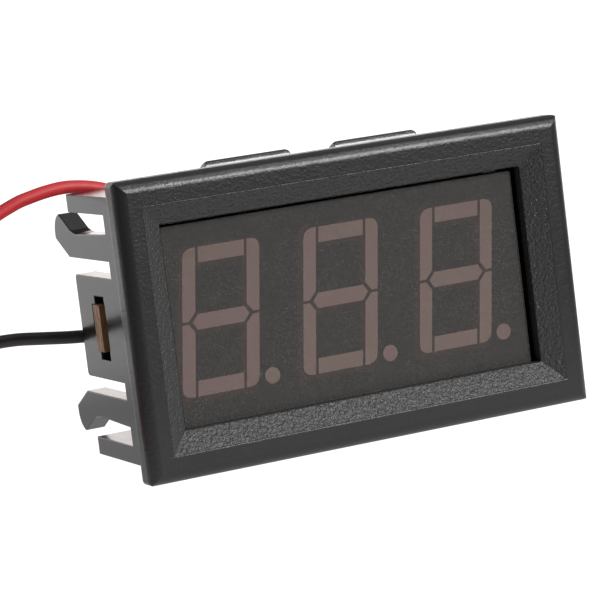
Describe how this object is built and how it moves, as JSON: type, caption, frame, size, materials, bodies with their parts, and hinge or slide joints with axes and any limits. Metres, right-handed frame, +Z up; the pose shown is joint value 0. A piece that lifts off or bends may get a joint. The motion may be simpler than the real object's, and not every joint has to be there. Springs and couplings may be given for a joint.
{
  "type": "LED panel meter",
  "caption": "Panel voltmeter with an LED numeric display in a snap-in black bezel, with a red and a black lead and a calibration trimmer on its back.",
  "frame": {"origin": "on the surface that the meter stands on, under the middle of its bounding box without the leads", "axes": "+X along the bezel to the right seen from the front, +Y from the face towards the back, +Z up"},
  "size_m": [0.0767, 0.0317, 0.0291],
  "materials": {
    "case": "fine spark texture, flame retardant moulding",
    "film": "smoked film",
    "shell": "satin",
    "substrate": "glass fibre sheet",
    "segments": "translucent, unlit",
    "pins": "tinned",
    "solder": "soldered",
    "board": "paper board edge",
    "chip": "moulded package",
    "tantalum": "moulded package",
    "ceramic": "ceramic",
    "trimmer": "satin",
    "rotor": "satin",
    "red_insulation": "soft insulation",
    "black_insulation": "soft insulation",
    "tie": "satin",
    "tinned": "tinned copper strands"
  },
  "bodies": {
    "meter": {"bezel_case": "case", "front_film": "film", "display_shell": "shell", "display_substrate": "substrate", "digit_left": "segments", "digit_middle": "segments", "digit_right": "segments", "display_pins": "pins", "display_pin_solder": "solder", "main_board": "board", "controller_body": "chip", "controller_leads": "pins", "regulator_body": "chip", "regulator_leads": "pins", "diode_body": "chip", "diode_leads": "pins", "tantalum_body": "tantalum", "tantalum_leads": "pins", "chip_resistors": "chip", "chip_capacitors": "ceramic", "chip_end_caps": "solder", "trimmer_body": "trimmer", "trimmer_terminals": "pins", "lead_solder": "solder", "red_lead": "red_insulation", "black_lead": "black_insulation", "red_coil": "red_insulation", "black_coil": "black_insulation", "red_coil_tie": "tie", "black_coil_tie": "tie", "red_tip": "tinned", "black_tip": "tinned"},
    "trimmer_rotor": {"trimmer_rotor": "rotor"}
  },
  "joints": [
    {"name": "trimmer_turn", "type": "hinge", "parent": "meter", "child": "trimmer_rotor", "pos_m": [0.01319, 0.0026, 0.0145], "axis": [0, 1, 0], "range_deg": [-130, 130]}
  ]
}
